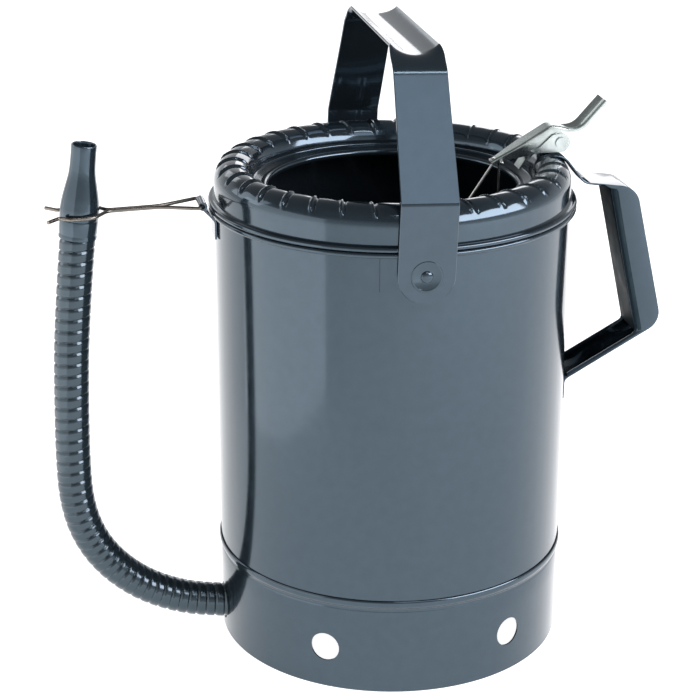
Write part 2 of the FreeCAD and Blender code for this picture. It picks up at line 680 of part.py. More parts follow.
def make_nozzle():
    outside = [Vector(r, 0, s) for s, r in NOZZLE_PROFILE]
    inside = [Vector(r - NOZZLE_SHEET, 0, s) for s, r in reversed(NOZZLE_PROFILE)]
    tube = Part.Face(Part.makePolygon(outside + inside + outside[:1])).revolve(ORIGIN, Z_AXIS, 360)
    spigot = ring(HOSE_BORE_R, HOSE_R, 0.2, NOZZLE_PROFILE[0][0] + 1.0)
    return stand_on_hose(fuse([tube, spigot]))


def write_parts():
    os.makedirs("parts", exist_ok=True)
    nodes = {
        "body_shell": make_body_shell(),
        "rim_ring": make_rim_ring(),
        "base_ring": make_base_ring(),
        "bottom_plate": make_bottom_plate(),
        "valve_seat": make_valve_seat(),
        "outlet_elbow": make_outlet_elbow(),
        "valve_stem": make_valve_stem(),
        "valve_gasket": make_valve_gasket(),
        "bail_ear_near": make_bail_ear(-1),
        "bail_ear_far": make_bail_ear(1),
        "bail_rivets": make_bail_rivets(),
        "bail_strap": make_bail_strap(),
        "handle": make_handle(),
        "grip_liner": make_grip_liner(),
        "lever_bracket": make_lever_bracket(),
        "lever_pin": make_lever_pin(),
        "thumb_lever": make_thumb_lever(),
        "pull_wire": make_pull_wire(),
        "return_spring": make_return_spring(),
        "spring_eye": make_spring_eye(),
        "clip_bracket": make_clip_bracket(),
        "clip_wire": make_clip_wire(),
        "hose_ferrule": make_hose_ferrule(),
        "nozzle": make_nozzle(),
    }
    nodes.update(make_hose_pieces())
    for name, shape in nodes.items():
        facts = (name, shape.isValid(), len(shape.Solids), shape.Volume)
        print("%-14s valid %s, solids %d, volume %.0f mm3" % facts)
        shape.exportStep("parts/" + name + ".step")


write_parts()
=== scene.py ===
import json
import math

import bmesh
import bpy
from mathutils import Matrix, Vector


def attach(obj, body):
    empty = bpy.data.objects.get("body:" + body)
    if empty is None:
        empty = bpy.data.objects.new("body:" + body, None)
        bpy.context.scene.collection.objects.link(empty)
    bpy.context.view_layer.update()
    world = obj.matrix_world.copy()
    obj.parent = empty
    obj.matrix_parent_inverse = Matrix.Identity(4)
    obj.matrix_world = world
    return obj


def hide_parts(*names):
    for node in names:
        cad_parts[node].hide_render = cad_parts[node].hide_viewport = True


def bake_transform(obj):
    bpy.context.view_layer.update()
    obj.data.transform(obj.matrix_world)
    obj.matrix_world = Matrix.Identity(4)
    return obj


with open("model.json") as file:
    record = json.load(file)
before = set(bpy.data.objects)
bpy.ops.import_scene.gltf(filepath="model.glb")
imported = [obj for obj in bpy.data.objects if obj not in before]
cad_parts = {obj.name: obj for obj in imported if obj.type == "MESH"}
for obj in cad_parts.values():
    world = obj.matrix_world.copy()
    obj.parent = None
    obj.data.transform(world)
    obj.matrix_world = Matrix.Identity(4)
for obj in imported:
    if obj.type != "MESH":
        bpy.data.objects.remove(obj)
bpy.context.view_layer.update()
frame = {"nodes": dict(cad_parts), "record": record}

MM = 0.001

# Sizes that part.py also uses, in millimetres
BODY_R = 108.0
ROLL_PITCH_R = 96.4
ROLL_Z = 292.7
ROLL_R = 11.6
EAR_X = -4.0
PIVOT_Z = 266.8
BAIL_OUTER_Y = 114.2
BAIL_LEAN = 2.0
SPRING_X = 66.5
VENT_PAIR_AT = 90.9
VENT_HALF_TURN = 31.8
VENT_Z = 27.0
VENT_R = 9.0
OUTLET_TURN = 180
OUTLET_Z = 17.1
OUTLET_HOLE_R = 11.7

# The two beads where the rim ring meets the body, and the body's lock seam, in millimetres
BEAD_PITCH_R = 110.1
BEAD_R = 1.55
BODY_BEAD_Z = 278.15
RIM_BEAD_Z = 281.45
BEAD_FOOT_Z = 276.4
LOCK_SEAM_TURN = 68
LOCK_SEAM_HEIGHT = 0.9
LOCK_SEAM_RAMP = 0.8

# The rim roll's crimped pleats
PLEATS = 35
PLEAT_SEGMENTS = 36
PLEAT_PHASE = 0.006

# The hose's route from the outlet elbow to the nozzle, in metres
HOSE_ROUTE = [
    (-0.0990, 0.0162),
    (-0.1189, 0.0182),
    (-0.1402, 0.0235),
    (-0.1617, 0.0342),
    (-0.1807, 0.0514),
    (-0.1931, 0.0719),
    (-0.1990, 0.0951),
    (-0.1998, 0.1221),
    (-0.1991, 0.1560),
    (-0.1967, 0.2120),
    (-0.1903, 0.2680),
]

# The hose's wound strip, in metres
HOSE_JOINT_R = 0.0098
STRIP_RISE = 0.0010
HOSE_BORE_R = 0.0091
HOSE_SIDES = 56
HOSE_RING_STEP = 0.00034
HOSE_BORE_SKIP = 8
HOSE_AIM = 0.002
STRIP_PITCH = 0.0059
STRIP_PITCH_GROWTH = 0.0012

Y_AXIS = Vector((0, 1, 0))


# ---------------------------------------------------------------- materials

def set_stops(node, stops):
    """Gives a colour ramp node its stops, each a position and a colour."""
    elements = node.color_ramp.elements
    while len(elements) < len(stops):
        elements.new(0.5)
    for element, (position, colour) in zip(elements, stops):
        element.position = position
        element.color = (*colour, 1)


class Shader:
    """A material whose principled shader gets its colour, roughness and bump from procedural nodes."""

    def __init__(self, name, **inputs):
        self.material = bpy.data.materials.new(name)
        self.material.use_nodes = True
        self.tree = self.material.node_tree
        self.main = self.tree.nodes["Principled BSDF"]
        for key, value in inputs.items():
            self.main.inputs[key.replace("_", " ")].default_value = value
        self.place = self.tree.nodes.new("ShaderNodeTexCoord").outputs["Object"]

    def link(self, a, b):
        self.tree.links.new(a, b)

    def noise(self, scale, detail=3.0, roughness=0.55, stretch=(1, 1, 1)):
        mapping = self.tree.nodes.new("ShaderNodeMapping")
        mapping.inputs["Scale"].default_value = stretch
        self.link(self.place, mapping.inputs["Vector"])
        node = self.tree.nodes.new("ShaderNodeTexNoise")
        node.inputs["Scale"].default_value = scale
        node.inputs["Detail"].default_value = detail
        node.inputs["Roughness"].default_value = roughness
        self.link(mapping.outputs["Vector"], node.inputs["Vector"])
        return node.outputs["Fac"]

    def ramp(self, factor, stops):
        node = self.tree.nodes.new("ShaderNodeValToRGB")
        set_stops(node, stops)
        self.link(factor, node.inputs["Fac"])
        return node.outputs["Color"]

    def colour(self, output):
        self.link(output, self.main.inputs["Base Color"])

    def roughness(self, factor, low, high):
        node = self.tree.nodes.new("ShaderNodeMapRange")
        node.inputs["From Min"].default_value = 0.3
        node.inputs["From Max"].default_value = 0.7
        node.inputs["To Min"].default_value = low
        node.inputs["To Max"].default_value = high
        self.link(factor, node.inputs["Value"])
        self.link(node.outputs["Result"], self.main.inputs["Roughness"])

    def bump(self, height, distance, strength=1.0):
        node = self.tree.nodes.new("ShaderNodeBump")
        node.inputs["Distance"].default_value = distance
        node.inputs["Strength"].default_value = strength
        self.link(height, node.inputs["Height"])
        self.link(node.outputs["Normal"], self.main.inputs["Normal"])


def enamel(name, colour, metallic, low, high):
    """Glossy stoved enamel: faint mottling, orange peel and patches a little duller than the rest."""
    s = Shader(name, Metallic=metallic, IOR=1.5, Coat_Weight=0.25, Coat_Roughness=0.05)
    dark = tuple(c * 0.95 for c in colour)
    light = tuple(min(1, c * 1.05) for c in colour)
    s.colour(s.ramp(s.noise(160, 4), [(0.30, dark), (0.52, colour), (0.75, light)]))
    s.roughness(s.noise(90, 5, 0.6), low, high)
    s.bump(s.noise(650, 2, 0.5), 0.00002, 0.35)
    return s.material


def bare_metal(name, colour, low, high, grain, stretch):
    """Plated or drawn metal: uneven tone, and a fine grain that can run along one axis."""
    s = Shader(name, Metallic=1.0)
    dark = tuple(c * 0.72 for c in colour)
    s.colour(s.ramp(s.noise(90, 5, 0.65), [(0.28, dark), (0.6, colour)]))
    s.roughness(s.noise(60, 4), low, high)
    s.bump(s.noise(grain, 3, 0.6, stretch), 0.00003, 0.6)
    return s.material


ENAMEL = enamel("blue_grey_enamel", (0.046, 0.070, 0.090), 0.84, 0.10, 0.15)
HOSE = enamel("hose_enamel", (0.042, 0.063, 0.078), 0.80, 0.13, 0.20)
ZINC = bare_metal("zinc_plate", (0.50, 0.56, 0.55), 0.18, 0.30, 700, (1, 1, 6))
WIRE = bare_metal("drawn_wire", (0.21, 0.195, 0.175), 0.22, 0.36, 900, (1, 1, 1))
SPRING_WIRE = bare_metal("spring_wire", (0.72, 0.72, 0.70), 0.22, 0.36, 900, (1, 1, 1))
BRASS = bare_metal("valve_brass", (0.66, 0.50, 0.24), 0.25, 0.45, 500, (1, 1, 8))


def grip_shade_paint():
    """Near-black dull paint on the grip's inner side: painted shade for the shadowed inside of the handle's
    channel.
    """
    s = Shader("painted_shade_grip_paint", Specular_IOR_Level=0.08)
    s.colour(s.ramp(s.noise(120, 5, 0.6), [(0.3, (0.010, 0.020, 0.026)), (0.7, (0.017, 0.032, 0.040))]))
    s.roughness(s.noise(90, 4), 0.50, 0.70)
    s.bump(s.noise(500), 0.00003)
    return s.material


def rubber():
    """Black moulded rubber."""
    s = Shader("gasket_rubber")
    s.colour(s.ramp(s.noise(300, 4), [(0.3, (0.012, 0.012, 0.012)), (0.7, (0.035, 0.034, 0.032))]))
    s.roughness(s.noise(200), 0.6, 0.8)
    s.bump(s.noise(1500), 0.00005)
    return s.material


RUBBER = rubber()
GRIP_SHADE = grip_shade_paint()
BY_SLOT = {
    "blue_enamel": ENAMEL,
    "hose_metal": HOSE,
    "zinc_plate": ZINC,
    "steel_wire": WIRE,
    "valve_brass": BRASS,
    "gasket_rubber": RUBBER,
}


# ---------------------------------------------------------------- mesh helpers, in millimetres

def add_object(name, data):
    holder = bpy.data.objects.new(name, data)
    bpy.context.scene.collection.objects.link(holder)
    return holder


def add_piece(name, mesh, body, slot, material, sharp):
    """Puts a mesh in the scene as a piece that rides a body. A piece given no body is left without a parent.
    """
    mesh.shade_smooth()
    mesh.set_sharp_from_angle(angle=math.radians(sharp))
    mesh.materials.append(material or BY_SLOT[slot])
    piece = add_object(name, mesh)
    if body:
        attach(piece, body)
    return piece


def finish_mesh(name, verts, faces, body, slot, material=None, sharp=38, lean=None):
    mesh = bpy.data.meshes.new(name)
    points = [Vector(v) * MM for v in verts]
    if lean:
        points = [lean @ p for p in points]
    mesh.from_pydata(points, [], faces)
    mesh.validate()
    work = bmesh.new()
    work.from_mesh(mesh)
    bmesh.ops.remove_doubles(work, verts=work.verts, dist=1e-7)
    bmesh.ops.recalc_face_normals(work, faces=work.faces)
    work.to_mesh(mesh)
    work.free()
    return add_piece(name, mesh, body, slot, material, sharp)


def grid(rows, columns, close_rows=False):
    """The faces between rows of points. Each row is a closed loop."""
    faces = []
    for i in range(rows if close_rows else rows - 1):
        for j in range(columns):
            a, b = i, (i + 1) % rows
            c, d = j, (j + 1) % columns
            faces.append((a * columns + c, a * columns + d, b * columns + d, b * columns + c))
    return faces


def capped_loft(rows, columns):
    """The faces between rows of points, with the first and last loop filled in."""
    faces = grid(rows, columns)
    faces.append(tuple(range(columns)))
    faces.append(tuple(reversed(range((rows - 1) * columns, rows * columns))))
    return faces


def arc(centre, radius, start, end, count):
    points = []
    for i in range(count + 1):
        a = math.radians(start + (end - start) * i / count)
        points.append((centre[0] + radius * math.cos(a), centre[1] + radius * math.sin(a)))
    return points


def smooth(x):
    x = min(1.0, max(0.0, x))
    return x * x * (3 - 2 * x)


def lathe(name, profile, body, slot, segments, place=Matrix.Identity(4)):
    """A closed profile of (radius, height) turned about an axis that place puts where it belongs."""
    verts = []
    for i in range(segments):
        a = 2 * math.pi * i / segments
        for r, z in profile:
            verts.append(place @ Vector((r * math.cos(a), r * math.sin(a), z)))
    return finish_mesh(name, verts, grid(segments, len(profile), True), body, slot)


def spring_wire(name, points, radius, body):
    """Round wire along a line of points, with domed ends."""
    sides = 10
    points = [Vector(p) for p in points]
    verts = []
    side = None
    for i, p in enumerate(points):
        ahead = points[min(i + 1, len(points) - 1)] - points[max(i - 1, 0)]
        ahead.normalize()
        if side is None:
            side = ahead.orthogonal().normalized()
        side = (side - ahead * side.dot(ahead)).normalized()
        other = ahead.cross(side)
        for k in range(sides):
            a = 2 * math.pi * k / sides
            verts.append(p + (side * math.cos(a) + other * math.sin(a)) * radius)
    faces = grid(len(points), sides)
    first, last = len(verts), len(verts) + 1
    verts.append(points[0] + (points[0] - points[1]).normalized() * radius * 0.6)
    verts.append(points[-1] + (points[-1] - points[-2]).normalized() * radius * 0.6)
    base = (len(points) - 1) * sides
    for k in range(sides):
        faces.append((k, (k + 1) % sides, first))
        faces.append((base + k, base + (k + 1) % sides, last))
    return finish_mesh(name, verts, faces, body, "steel_wire", SPRING_WIRE, 60)


def rounded_path(corners, radii, steps):
    """Points along straight runs joined by arcs, in two dimensions."""
    path = [Vector(corners[0])]
    for i in range(1, len(corners) - 1):
        c = Vector(corners[i])
        back = (Vector(corners[i - 1]) - c).normalized()
        ahead = (Vector(corners[i + 1]) - c).normalized()
        half = (math.pi - back.angle(ahead)) / 2
        radius = radii[i - 1]
        cut = radius * math.tan(half)
        middle = c + (back + ahead).normalized() * (radius / math.cos(half))
        first = c + back * cut - middle
        last = c + ahead * cut - middle
        for k in range(steps + 1):
            t = k / steps
            w = first.angle(last)
            path.append(middle + (first * math.sin((1 - t) * w) + last * math.sin(t * w)) / math.sin(w))
    path.append(Vector(corners[-1]))
    return path


def resample(path, step):
    """The same line with its long runs divided."""
    points = [path[0]]
    for a, b in zip(path, path[1:]):
        count = max(1, round((b - a).length / step))
        for k in range(1, count + 1):
            points.append(a.lerp(b, k / count))
    return points


def outward_at(path, i):
    """The unit vector square to a two-dimensional line at its point i, on the line's left."""
    ahead = (path[min(i + 1, len(path) - 1)] - path[max(i - 1, 0)]).normalized()
    return Vector((-ahead.y, ahead.x))


# ---------------------------------------------------------------- body, rim and base

def make_body_shell():
    profile = [(BODY_R, 56.5)]
    profile += [(BODY_R, z) for z in (57.0, 62.5, 100, 150, 200, 250, 276.3)]
    profile += [(BODY_R + 0.9, 276.5)]
    profile += arc((BEAD_PITCH_R, BODY_BEAD_Z), BEAD_R, -100, 85, 10)
    profile += [(BODY_R - 0.6, 279.7), (BODY_R - 1, 279.6), (BODY_R - 1, 170), (BODY_R - 1, 56.5)]
    segments = 288
    seam_angle = math.radians(LOCK_SEAM_TURN)
    verts = []
    for i in range(segments):
        a = 2 * math.pi * i / segments
        across = (a - seam_angle) * BODY_R
        on_seam = smooth((across + 4.2) / LOCK_SEAM_RAMP) - smooth((across - 3.4) / LOCK_SEAM_RAMP)
        lift = LOCK_SEAM_HEIGHT * on_seam
        for r, z in profile:
            out = r + (lift if z < BEAD_FOOT_Z else 0)
            verts.append((out * math.cos(a), out * math.sin(a), z))
    piece = finish_mesh("body_sheet", verts, grid(segments, len(profile), True), "can", "blue_enamel")
    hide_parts("body_shell")


def pleat_height(turn, climb):
    """How far the roll's crimped sheet stands out, by the turn round the rim and the climb over the roll."""
    u = (turn * PLEATS + 0.5 * climb) % 1.0
    # each panel swells a little, ends in a raised fold and drops sharply into a groove
    swell = 0.28 * math.sin(math.pi * u)
    fold = 1.0 * math.exp(-(((u - 0.89) / 0.05) ** 2))
    groove = 0.80 * math.exp(-((min(u, 1 - u) / 0.045) ** 2))
    edge = smooth((climb - 0.15) / 0.12) * (1 - smooth((climb - 0.66) / 0.20))
    return edge * (swell + fold - groove - 0.1)


def make_rim():
    steps = 40
    rows = [(BODY_R - 1, 280.0, 0), (BODY_R - 0.6, 279.9, 0)]
    rows += [(r, z, 0) for r, z in arc((BEAD_PITCH_R, RIM_BEAD_Z), BEAD_R, -85, 100, 10)]
    rows += [(BODY_R + 0.5, 283.2, 0), (BODY_R, 283.6, 0), (BODY_R, 288.5, 0)]
    for i in range(steps + 1):
        a = math.pi * i / steps
        rows.append((ROLL_PITCH_R + ROLL_R * math.cos(a), ROLL_Z + ROLL_R * math.sin(a), i / steps))
    inner = ROLL_PITCH_R - ROLL_R
    rows += [(inner + 0.15, ROLL_Z - 0.8, 0), (inner - 0.3, ROLL_Z - 1.35, 0), (inner - 1.2, ROLL_Z - 1.7, 0)]
    rows += [(79.9, 289.6, 0), (79.3, 289.5, 0)]
    rows += [(r, z, 0) for r, z in arc((77.3, 288.2), 2.3, 42, 330, 18)]
    rows += [(80.5, 288.2, 0), (inner, ROLL_Z - 2.6, 0), (inner + 0.9, ROLL_Z - 1.6, 0)]
    # back over the roll on the inside of its sheet
    inner_steps = 12
    for i in range(inner_steps, -1, -1):
        a = math.pi * i / inner_steps
        rows.append((ROLL_PITCH_R + (ROLL_R - 1) * math.cos(a), ROLL_Z + (ROLL_R - 1.2) * math.sin(a), 0))
    segments = PLEATS * PLEAT_SEGMENTS
    verts = []
    for i in range(segments):
        turn = i / segments
        a = 2 * math.pi * (turn - PLEAT_PHASE)
        for r, z, climb in rows:
            lift = pleat_height(turn, climb) if climb > 0 else 0
            w = math.pi * climb
            out = r + lift * math.cos(w)
            verts.append((out * math.cos(a), out * math.sin(a), z + lift * math.sin(w)))
    piece = finish_mesh("rim_roll", verts, grid(segments, len(rows), True), "can", "blue_enamel", sharp=50)
    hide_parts("rim_ring")


def make_base():
    """The base ring, with the outlet's hole and two pairs of vent holes cut through it."""
    outside = [(106.6, 0.0), (107.6, 0.15), (108.0, 0.6)]
    outside += [(108.0, 12), (108.0, 27), (108.0, 42), (108.0, 53.4)]
    outside += [(107.85, 54.2), (107.6, 54.9), (107.6, 55.5), (107.8, 56.1), (108.2, 56.8), (108.75, 57.5)]
    outside += [(109.1, 58.4), (109.2, 59.4), (109.2, 60.5), (109.0, 61.3), (108.6, 61.7), (108.2, 61.6)]
    inside = [(108.12, 57.2), (107.0, 55.0), (107.0, 27), (107.0, 2.2), (106.2, 1.9), (106.2, 0.3)]
    ring = lathe("base_skirt", outside + inside, "can", "blue_enamel", 288)
    holes = [(OUTLET_TURN, OUTLET_Z, OUTLET_HOLE_R)]
    for middle in (-VENT_PAIR_AT, VENT_PAIR_AT):
        holes += [(middle - VENT_HALF_TURN, VENT_Z, VENT_R), (middle + VENT_HALF_TURN, VENT_Z, VENT_R)]
    cutters = []
    for turn, height, radius in holes:
        work = bmesh.new()
        bmesh.ops.create_cone(work, cap_ends=True, segments=64, radius1=radius, radius2=radius, depth=20)
        mesh = bpy.data.meshes.new("cutter")
        place = Matrix.Rotation(math.radians(turn), 4, "Z") @ Matrix.Translation((BODY_R, 0, height))
        work.transform(Matrix.Scale(MM, 4) @ place @ Matrix.Rotation(math.pi / 2, 4, "Y"))
        work.to_mesh(mesh)
        work.free()
        cutter = add_object("cutter", mesh)
        cutters.append(cutter)
        cut = ring.modifiers.new("hole", "BOOLEAN")
        cut.object = cutter
        cut.operation = "DIFFERENCE"
        cut.solver = "EXACT"
    bpy.context.view_layer.update()
    done = bpy.data.meshes.new_from_object(ring.evaluated_get(bpy.context.evaluated_depsgraph_get()))
    ring.modifiers.clear()
    ring.data = done
    done.set_sharp_from_angle(angle=math.radians(38))
    for cutter in cutters:
        bpy.data.objects.remove(cutter)
    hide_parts("base_ring")


# ---------------------------------------------------------------- hose, ferrule and nozzle

def route_line():
    """Points along the smooth line that has the route's points as its control points."""
    curve = bpy.data.curves.new("hose_line", "CURVE")
    curve.dimensions = "3D"
    spline = curve.splines.new("NURBS")
    spline.points.add(len(HOSE_ROUTE) - 1)
    for point, (x, z) in zip(spline.points, HOSE_ROUTE):
        point.co = (x, 0, z, 1)
    spline.order_u = 3
    spline.use_endpoint_u = True
    spline.resolution_u = 40
    holder = bpy.data.objects.new("hose_line", curve)
    mesh = bpy.data.meshes.new_from_object(holder)
    line = [v.co.copy() for v in mesh.vertices]
    bpy.data.objects.remove(holder)
    bpy.data.meshes.remove(mesh)
    bpy.data.curves.remove(curve)
    return line


def at_length(line, lengths, s):
    """The point at a length along a line whose running lengths are known."""
    lo, hi = 0, len(lengths) - 1
    while hi - lo > 1:
        mid = (lo + hi) // 2
        if lengths[mid] <= s:
            lo = mid
        else:
            hi = mid
    t = (s - lengths[lo]) / max(1e-9, lengths[hi] - lengths[lo])
    return line[lo].lerp(line[hi], t)


def strip_profile(u):
    """Height of the wound strip across one turn, 0 to 1: a flat crown, a round shoulder, then the joint."""
    if u < 0.10:
        return smooth(u / 0.10)
    if u < 0.60:
        return 1.0
    if u < 0.90:
        return 1 - 0.66 * ((u - 0.60) / 0.30) ** 2
    return 0.34 * (1 - smooth((u - 0.90) / 0.10))


def hose_section(line, lengths, s):
    """The hose's centre at a length along it, and the unit vector across it in the plane of its bend."""
    before = at_length(line, lengths, max(0, s - HOSE_AIM))
    ahead = at_length(line, lengths, min(lengths[-1], s + HOSE_AIM)) - before
    ahead.normalize()
    return at_length(line, lengths, s), Y_AXIS.cross(ahead)


def make_hose():
    """A wound strip outside and a plain bore inside, joined at both ends."""
    line = route_line()
    lengths = [0.0]
    for a, b in zip(line, line[1:]):
        lengths.append(lengths[-1] + (b - a).length)
    total = lengths[-1]
    sides = HOSE_SIDES
    rings = int(total / HOSE_RING_STEP)
    verts = []
    phase = 0.0
    for i in range(rings + 1):
        s = total * i / rings
        here, outward = hose_section(line, lengths, s)
        pitch = STRIP_PITCH + STRIP_PITCH_GROWTH * smooth((s - 0.10) / 0.08)
        phase += (total / rings) / pitch
        for k in range(sides):
            a = 2 * math.pi * k / sides
            u = (phase - k / sides) % 1.0
            r = HOSE_JOINT_R + STRIP_RISE * strip_profile(u)
            verts.append((here + (outward * math.cos(a) + Y_AXIS * math.sin(a)) * r) / MM)
    outer = len(verts)
    for i in [*range(0, rings, HOSE_BORE_SKIP), rings]:
        here, outward = hose_section(line, lengths, total * i / rings)
        for k in range(sides):
            a = 2 * math.pi * k / sides
            verts.append((here + (outward * math.cos(a) + Y_AXIS * math.sin(a)) * HOSE_BORE_R) / MM)
    inner_rings = (len(verts) - outer) // sides
    faces = grid(rings + 1, sides)
    faces += [tuple(outer + v for v in reversed(f)) for f in grid(inner_rings, sides)]
    last_outer, last_inner = rings * sides, outer + (inner_rings - 1) * sides
    for k in range(sides):
        n = (k + 1) % sides
        faces.append((k, outer + k, outer + n, n))
        faces.append((last_outer + k, last_outer + n, last_inner + n, last_inner + k))
    piece = finish_mesh("hose_strip", verts, faces, None, "hose_metal", sharp=70)
    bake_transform(piece)
    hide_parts("hose_lower", "hose_bend", "hose_upper")
    return piece, line, total


def nozzle_place():
    """At the hose's end, with the axis along its last straight run."""
    before, end = HOSE_ROUTE[-2], HOSE_ROUTE[-1]
    lean = math.atan2(end[0] - before[0], end[1] - before[1])
    return Matrix.Translation((end[0] / MM, 0, end[1] / MM)) @ Matrix.Rotation(lean, 4, "Y")


def make_nozzle():
    outside = [
        (11.5, 9.55), (11.75, 10.0), (11.75, 15.2), (11.55, 16.6), (11.15, 20.5), (10.55, 24.0),
        (9.85, 27.5), (9.15, 31.0), (8.5, 34.0), (8.02, 37.0), (7.75, 40.0), (7.62, 44.0),
        (7.55, 50.0), (7.6, 53.6), (7.45, 54.3), (7.1, 54.6),
    ]
    inside = [(6.75, 54.5), (6.5, 53.8), (6.4, 44.0), (6.9, 37.0), (8.6, 31.0), (10.2, 22.0), (10.4, 9.55)]
    nozzle = lathe("nozzle_spun", outside + inside, "spout", "blue_enamel", 96, nozzle_place())
    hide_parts("nozzle")
    cuff_out = [
        (11.05, -2.4), (11.4, -2.1), (11.45, -0.6), (11.2, 0.3), (11.2, 0.8), (11.5, 1.6),
        (11.5, 8.4), (11.35, 9.2), (11.0, 9.5),
    ]
    cuff_in = [(10.9, 9.5), (10.9, -2.4)]
    cuff = lathe("hose_cuff", cuff_out + cuff_in, "spout", "blue_enamel", 96, nozzle_place())
    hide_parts("hose_ferrule")
    return nozzle, cuff


# ---------------------------------------------------------------- bail

def lean_bail():
    """The bail's lean about its rivets at rest."""
    pivot = Vector((EAR_X, 0, PIVOT_Z)) * MM
    turn = Matrix.Rotation(math.radians(BAIL_LEAN), 4, "Y")
    return Matrix.Translation(pivot) @ turn @ Matrix.Translation(-pivot)


def ear_place(side):
    """At one rivet, with the axis pointing out of the can."""
    turn = Matrix.Rotation(-side * math.pi / 2, 4, "X")
    return Matrix.Translation((EAR_X, side * BAIL_OUTER_Y, PIVOT_Z)) @ turn


def make_bail():
    """One strip over the can, round-ended at the rivets, with its grip dished into a trough."""
    corners = [(-BAIL_OUTER_Y, 250.9), (-BAIL_OUTER_Y, 308.5), (-70.4, 380.8), (0, 380.8)]
    near = rounded_path(corners, [5.0, 17.0], 14)
    near = resample(near, 1.2)
    path = near + [Vector((-p.x, p.y)) for p in reversed(near[:-1])]
    across = 16
    thickness = 1.6
    verts = []
    for i, p in enumerate(path):
        out = outward_at(path, i)
        half = 16.3 - 1.0 * smooth((p.y - 300) / 75)
        if p.y < PIVOT_Z:
            half *= math.sqrt(max(0.0004, 1 - ((PIVOT_Z - p.y) / 15.9) ** 2))
        bend = 0.0485 * (1 - smooth((abs(p.x) - 56.5) / 13.0)) if p.y > 340 else 0.0
        outline = []
        for k in range(across + 1):
            outline.append((-half + 2 * half * k / across, 0.0))
        outline += [(half + 0.35, -0.35), (half + 0.35, -thickness + 0.35)]
        for k in range(across, -1, -1):
            outline.append((-half + 2 * half * k / across, -thickness))
        outline += [(-half - 0.35, -thickness + 0.35), (-half - 0.35, -0.35)]
        for a, depth in outline:
            if bend > 1e-4:
                x = math.sin(bend * a) * (1 / bend - depth)
                rise = (1 - math.cos(bend * a)) / bend + depth * math.cos(bend * a)
            else:
                x, rise = a, depth
            verts.append((EAR_X + x, p.x + out.x * rise, p.y + out.y * rise))
    faces = capped_loft(len(path), len(verts) // len(path))
    strap = finish_mesh("bail_strip", verts, faces, "bail", "blue_enamel", sharp=40, lean=lean_bail())
    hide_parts("bail_strap")
    for side, label in ((-1, "near"), (1, "far")):
        ring = [(9.4, -0.2), (9.1, 0.28), (8.5, 0.42), (7.9, 0.3), (7.4, 0.02), (4.0, 0.02), (3.3, -0.2)]
        lathe("bail_emboss_" + label, ring, "bail", "blue_enamel", 72, ear_place(side))


def make_rivets():
    for side, label in ((-1, "near"), (1, "far")):
        head = [(0.001, 1.6), (1.1, 1.55), (2.1, 1.35), (2.9, 0.95), (3.4, 0.5), (3.6, 0.05)]
        head += [(2.9, 0.0), (2.9, -3.0), (0.001, -3.0)]
        piece = lathe("bail_rivet_" + label, head, "can", "blue_enamel", 48, ear_place(side))
        if side < 0:
            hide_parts("bail_rivets")


# ---------------------------------------------------------------- handle

def channel(name, outer, radii, inner, inner_radii, half, fold, thickness, material=None):
    """A pressed channel: a web along an outer line, with two flanges that reach to an inner line."""
    web = rounded_path(outer, radii, 10)
    edge = rounded_path(inner, inner_radii, 6)
    work = bmesh.new()

    def row(line, y):
        return [work.verts.new((p.x * MM, y * MM, p.y * MM)) for p in line]

    near, far = row(web, -half), row(web, half)
    near_edge, far_edge = row(edge, -half), row(edge, half)
    for i in range(len(web) - 1):
        work.faces.new((near[i], near[i + 1], far[i + 1], far[i]))
    first = min(range(len(web)), key=lambda i: (web[i] - edge[0]).length)
    last = min(range(len(web)), key=lambda i: (web[i] - edge[-1]).length)
    work.faces.new(near[first:last + 1] + near_edge[::-1])
    work.faces.new(far[first:last + 1] + far_edge[::-1])
    folds = []
    for line in (near[first:last + 1], far[first:last + 1]):
        for a, b in zip(line, line[1:]):
            folds.append(work.edges.get((a, b)))
    bmesh.ops.recalc_face_normals(work, faces=work.faces)
    bmesh.ops.bevel(
        work, geom=folds, offset=fold * MM, segments=5, profile=0.5, affect="EDGES", clamp_overlap=True
    )
    bmesh.ops.triangulate(work, faces=[f for f in work.faces if len(f.verts) > 4])
    mesh = bpy.data.meshes.new(name)
    work.to_mesh(mesh)
    work.free()
    piece = add_piece(name, mesh, "can", "blue_enamel", material, 40)
    solid = piece.modifiers.new("sheet", "SOLIDIFY")
    solid.thickness = thickness * MM
    solid.offset = -1
    solid.use_even_offset = True
    return piece


def make_handle():
    outer = [
        (95.0, 305.3), (103.4, 305.6), (117.4, 287.6), (150.8, 282.8), (171.2, 193.8),
        (109.6, 158.8), (109.4, 146.0),
    ]
    radii = [11.0, 8.5, 14.0, 12.0, 4.0]
    inner = [(129.5, 285.7), (134.2, 282.6), (154.6, 187.8), (111.0, 163.2)]
    piece = channel("handle_channel", outer, radii, inner, [1.5, 3.5], 14.2, 2.6, 1.2)
    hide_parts("handle")
    # The grip lining is painted near-black: painted shade for the shadowed inside of the handle's channel.
    liner = channel(
        "grip_lining", [(133.6, 281.8), (154.4, 188.6)], [], [(137.6, 282.4), (158.4, 189.4)], [],
        14.4, 3.0, 1.0, GRIP_SHADE,
    )
    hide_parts("grip_liner")


# ---------------------------------------------------------------- thumb lever

